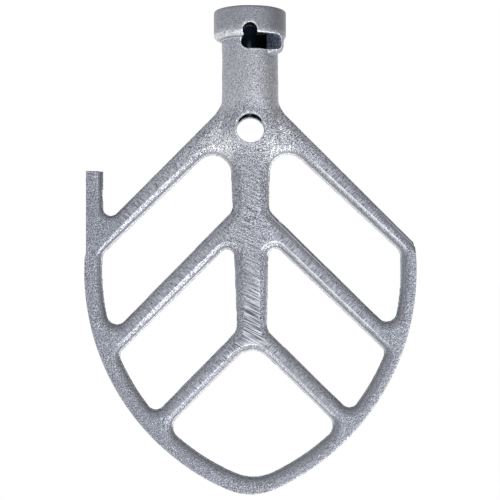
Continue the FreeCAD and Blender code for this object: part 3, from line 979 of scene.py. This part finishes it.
class BEATER_OT_stage(bpy.types.Operator):
    """Set the camera, the lamps, the floor and the white background"""

    bl_idname = "beater.stage"
    bl_label = "Set the stage"

    def execute(self, context):
        stage = context.scene.beater_stage
        context.scene.view_settings.view_transform = "Standard"
        self.camera(context, stage)
        self.background(context, stage)
        self.floor(stage)
        right_angle = math.pi / 2
        self.card("top_card", TOP_CARD_PLACE, (0, math.pi, 0), TOP_CARD_SIZE, stage.top_card)
        self.card("right_card", RIGHT_CARD_PLACE, (0, -right_angle, 0), SIDE_CARD_SIZE, stage.right_card)
        self.card("left_card", LEFT_CARD_PLACE, (0, right_angle, 0), SIDE_CARD_SIZE, stage.left_card)
        self.lamp("low_lamp", LOW_LAMP_PLACE, LOW_LAMP_SIZE, stage.low_power)
        return {"FINISHED"}

    def camera(self, context, stage):
        """Looks straight at the parting plane from the front."""
        data = bpy.data.cameras.new("camera")
        data.sensor_width = SENSOR_WIDTH
        data.lens = data.sensor_width * stage.distance / stage.frame_width
        camera = bpy.data.objects.new("camera", data)
        camera.location = (stage.sideways, -stage.distance, stage.height)
        camera.rotation_euler = Euler((math.pi / 2, stage.roll, 0))
        context.scene.collection.objects.link(camera)
        context.scene.camera = camera

    def seen(self, tree):
        """Socket that is 1 on rays that show the white stage itself, straight or in the metal."""
        rays = add_node(tree, "ShaderNodeLightPath").outputs
        either = add_node(
            tree, "ShaderNodeMath", {0: rays["Is Camera Ray"], 1: rays["Is Glossy Ray"]},
            operation="MAXIMUM",
        ).outputs[0]
        return add_node(
            tree, "ShaderNodeMath", {0: either, 1: rays["Is Transmission Ray"]}, operation="MAXIMUM"
        ).outputs[0]

    def background(self, context, stage):
        """Even white all round."""
        world = bpy.data.worlds.new("white_studio")
        world.use_nodes = True
        tree = world.node_tree
        tree.nodes.clear()
        light = add_node(
            tree, "ShaderNodeBackground", {"Color": tuple(stage.white), "Strength": 1.0}
        ).outputs[0]
        add_node(tree, "ShaderNodeOutputWorld", {"Surface": light})
        context.scene.world = world

    def sheet(self, name, place, turn, size, material_name):
        """A flat square of the stage."""
        half = size / 2
        corners = [(-half, -half, 0), (half, -half, 0), (half, half, 0), (-half, half, 0)]
        mesh = bpy.data.meshes.new(name)
        mesh.from_pydata(corners, [], [(0, 1, 2, 3)])
        sheet = bpy.data.objects.new(name, mesh)
        sheet.location = place
        sheet.rotation_euler = turn
        bpy.context.scene.collection.objects.link(sheet)
        material = bpy.data.materials.new(material_name)
        material.use_nodes = True
        material.node_tree.nodes.clear()
        mesh.materials.append(material)
        return sheet, material.node_tree

    def floor(self, stage):
        """Painted board, matt white, which shows the background's white and a faint shadow."""
        place = (0, 0, stage.floor_height)
        _, tree = self.sheet("floor", place, (0, 0, 0), FLOOR_SIZE, "matt_white_painted_board")
        share = add_node(
            tree, "ShaderNodeMapRange", {"Value": self.seen(tree), "To Min": 0.0, "To Max": FLOOR_GLOW}
        ).outputs[0]
        paint = add_node(tree, "ShaderNodeBsdfDiffuse", {"Color": tuple(stage.white)}).outputs[0]
        glow = add_node(tree, "ShaderNodeEmission", {"Color": tuple(stage.white)}).outputs[0]
        both = add_node(tree, "ShaderNodeMixShader", {0: share, 1: paint, 2: glow}).outputs[0]
        add_node(tree, "ShaderNodeOutputMaterial", {"Surface": both})

    def card(self, name, place, turn, size, colour):
        """Smooth paper card, evenly lit, which only the metal mirrors as a plain tone."""
        sheet, tree = self.sheet(name, place, turn, size, "lit_smooth_paper_card")
        sheet.visible_camera = False
        sheet.visible_shadow = False
        glow = add_node(tree, "ShaderNodeEmission", {"Color": tuple(colour)}).outputs[0]
        add_node(tree, "ShaderNodeOutputMaterial", {"Surface": glow})

    def lamp(self, name, place, size, power):
        """A soft square lamp that points at the middle of the beater."""
        data = bpy.data.lights.new(name, "AREA")
        data.shape = "SQUARE"
        data.size = size
        data.energy = power
        lamp = bpy.data.objects.new(name, data)
        lamp.location = place
        way = Vector(AIM) - Vector(place)
        lamp.rotation_euler = way.to_track_quat("-Z", "Y").to_euler()
        lamp.visible_camera = False
        bpy.context.scene.collection.objects.link(lamp)


class BEATER_PT_panel(bpy.types.Panel):
    """The beater's sizes, colours and steps"""

    bl_idname = "BEATER_PT_panel"
    bl_label = "Flat beater"
    bl_space_type = "VIEW_3D"
    bl_region_type = "UI"
    bl_category = "Beater"

    def draw(self, context):
        scene = context.scene
        for group in (scene.beater_casting, scene.beater_finish, scene.beater_stage):
            for name in type(group).__annotations__:
                self.layout.prop(group, name)
        self.layout.operator(BEATER_OT_casting.bl_idname)
        self.layout.operator(BEATER_OT_stage.bl_idname)


CLASSES = (
    BeaterCasting,
    BeaterFinish,
    BeaterStage,
    BEATER_OT_casting,
    BEATER_OT_stage,
    BEATER_PT_panel,
)


def register():
    """Adds the classes and the scene's property groups."""
    for part in CLASSES:
        bpy.utils.register_class(part)
    bpy.types.Scene.beater_casting = PointerProperty(type=BeaterCasting)
    bpy.types.Scene.beater_finish = PointerProperty(type=BeaterFinish)
    bpy.types.Scene.beater_stage = PointerProperty(type=BeaterStage)


def unregister():
    """Takes the property groups and the classes away again."""
    del bpy.types.Scene.beater_stage
    del bpy.types.Scene.beater_finish
    del bpy.types.Scene.beater_casting
    for part in reversed(CLASSES):
        bpy.utils.unregister_class(part)


def main():
    register()
    bpy.ops.beater.casting()
    bpy.ops.beater.stage()


if __name__ == "__main__":
    main()
